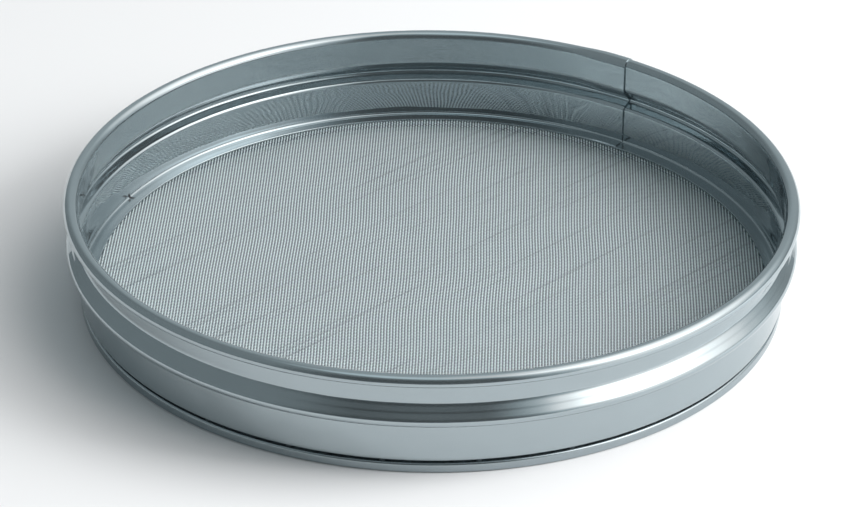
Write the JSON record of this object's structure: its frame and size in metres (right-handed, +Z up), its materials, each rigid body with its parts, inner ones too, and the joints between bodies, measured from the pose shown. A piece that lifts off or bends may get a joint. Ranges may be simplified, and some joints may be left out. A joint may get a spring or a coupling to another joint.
{
  "type": "tamis drum sieve",
  "caption": "Round flat-bottomed drum sieve: low sheet metal hoop with a rolled rim and a swaged bead, fine woven wire cloth held under its flange by a clamp ring.",
  "frame": {"origin": "on the drum's axis, in the plane of the clamp ring's foot, which the sieve stands on", "axes": "+Z up along the drum's axis towards the rolled rim; -Y is the side nearest the viewer in the picture; +X is the picture's right"},
  "size_m": [0.3, 0.3, 0.0454],
  "materials": {
    "hoop_steel": "bright rolled stainless sheet, near mirror, faint rolling lines around the drum",
    "ring_steel": "bright rolled stainless sheet, a little duller than the hoop",
    "wire_steel": "bright drawn stainless wire",
    "weld_steel": "dull spot weld nugget"
  },
  "bodies": {
    "root": {"drum_hoop": "hoop_steel", "clamp_ring": "ring_steel", "warp_wires": "wire_steel", "weft_wires": "wire_steel", "spot_welds": "weld_steel"}
  },
  "joints": []
}
